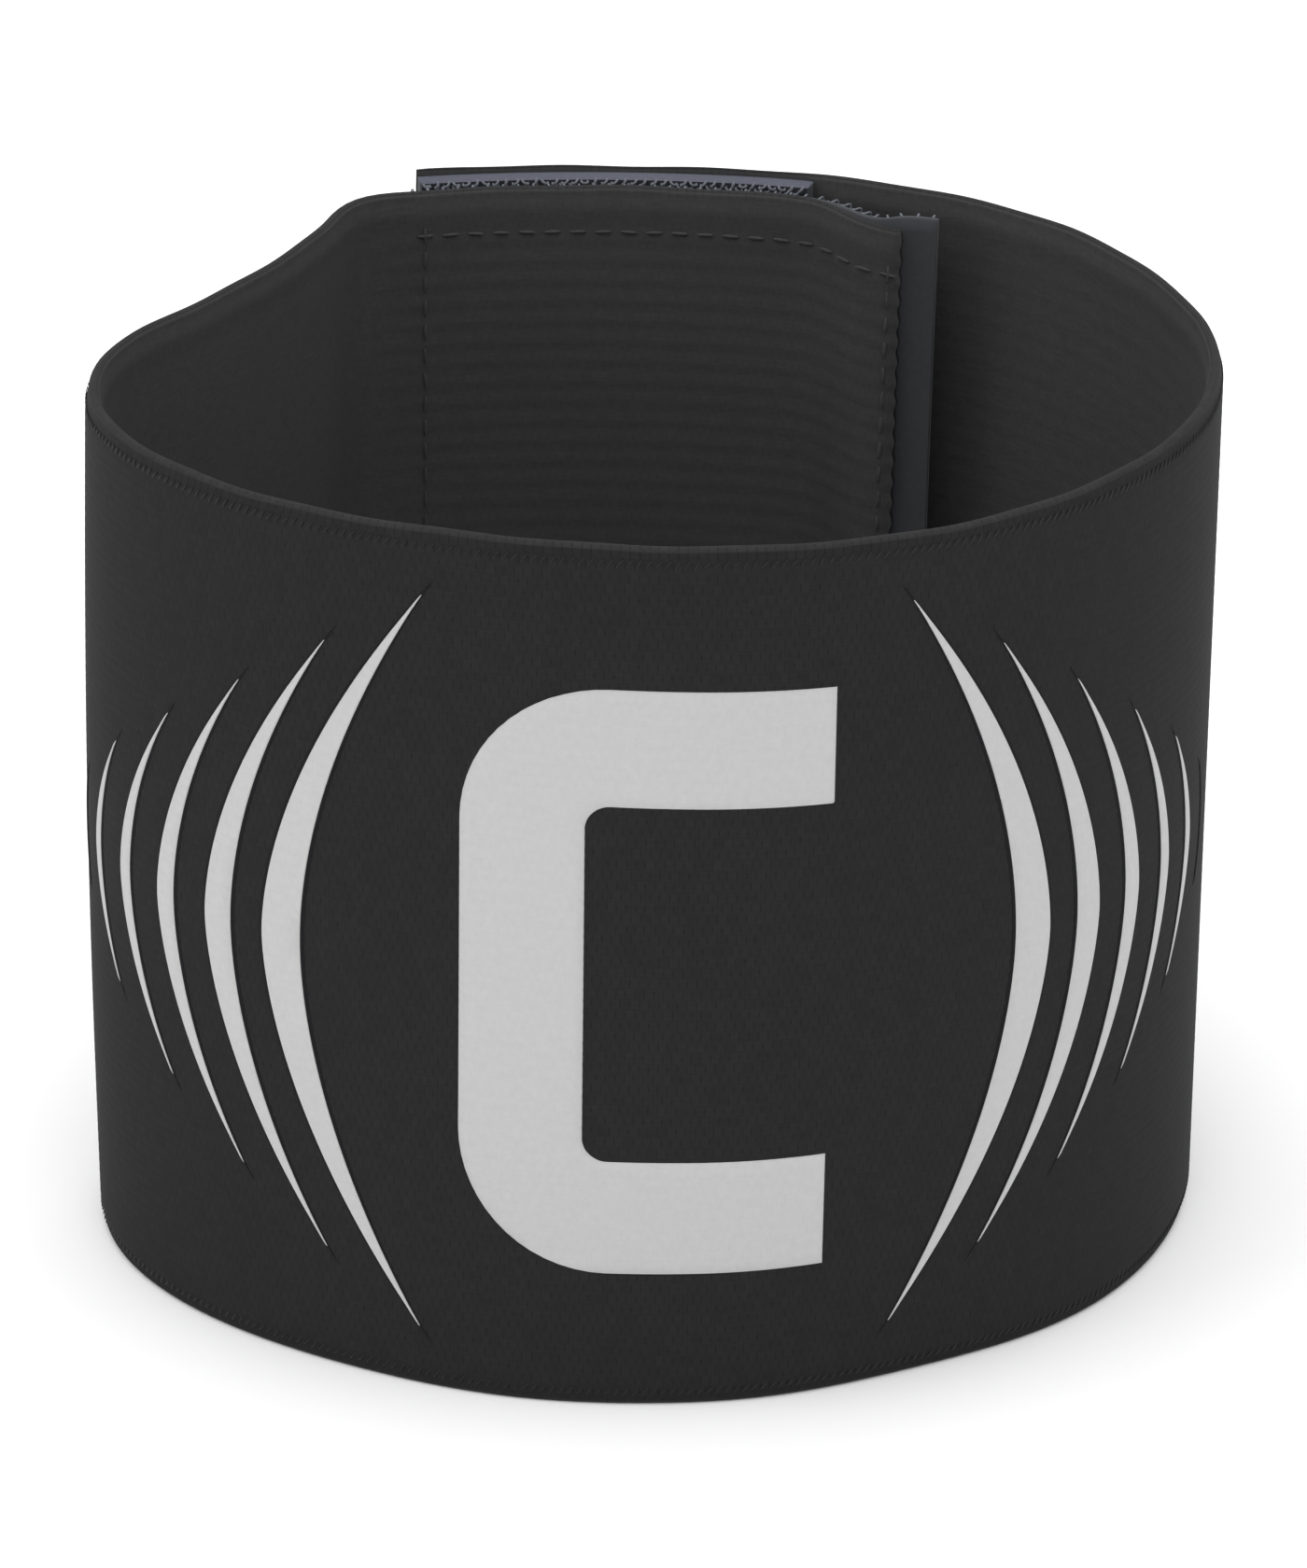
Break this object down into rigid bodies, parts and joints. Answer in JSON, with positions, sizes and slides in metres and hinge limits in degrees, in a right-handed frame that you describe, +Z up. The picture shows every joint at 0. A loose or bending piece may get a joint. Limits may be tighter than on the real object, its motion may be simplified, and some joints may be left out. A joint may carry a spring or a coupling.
{
  "type": "captain armband",
  "caption": "Wide black elastic band for the upper arm, closed behind with hook and loop tape, printed with a plain block letter and tapering curved stripes.",
  "frame": {"origin": "middle of the footprint, on the plane that the lower edge stands on", "axes": "+Z up across the strip's width, -Y towards the printed front, +X to the right of a viewer facing the letter"},
  "size_m": [0.0932, 0.0904, 0.075],
  "materials": {
    "elastic": "matte woven elastic",
    "hook_tape": "moulded nylon hooks on woven tape",
    "loop_tape": "brushed nylon loop pile",
    "thread": "polyester sewing thread",
    "print": "matte heat transfer film",
    "dark_print": "dark heat transfer film"
  },
  "bodies": {
    "front": {"strap_front_wall": "elastic", "captain_letter": "print", "stripe_left_1": "print", "stripe_left_2": "print", "stripe_left_3": "print", "stripe_left_4": "print", "stripe_left_5": "print", "stripe_left_6": "dark_print", "stripe_right_1": "print", "stripe_right_2": "print", "stripe_right_3": "print", "stripe_right_4": "print", "stripe_right_5": "print", "stripe_right_6": "dark_print"},
    "inner_tab": {"strap_inner_tab": "elastic", "hook_tape": "hook_tape", "hook_tape_seam": "thread"},
    "right_wall": {"strap_right_wall": "elastic"},
    "flap_base": {"strap_flap_base": "elastic", "loop_tape_base": "loop_tape", "loop_tape_seam_base": "thread"},
    "flap_tip": {"strap_flap_tip": "elastic", "loop_tape_tip": "loop_tape", "loop_tape_seam_tip": "thread"}
  },
  "joints": [
    {"name": "inner_tab_flex", "type": "hinge", "parent": "front", "child": "inner_tab", "pos_m": [-0.02244, 0.03557, 0.0375], "axis": [0, 0, -1], "range_deg": [0, 35], "stiffness_Nm_per_rad": 0.01},
    {"name": "right_wall_swing", "type": "hinge", "parent": "front", "child": "right_wall", "pos_m": [0.04549, 0.00918, 0.0375], "axis": [0, 0, -1], "range_deg": [0, 45], "stiffness_Nm_per_rad": 0.01},
    {"name": "flap_peel", "type": "hinge", "parent": "right_wall", "child": "flap_base", "pos_m": [0.0198, 0.04018, 0.0375], "axis": [0, 0, -1], "range_deg": [0, 70], "stiffness_Nm_per_rad": 0.006},
    {"name": "flap_tip_peel", "type": "hinge", "parent": "flap_base", "child": "flap_tip", "pos_m": [-0.00391, 0.04465, 0.0375], "axis": [0, 0, -1], "range_deg": [0, 60], "stiffness_Nm_per_rad": 0.003}
  ]
}
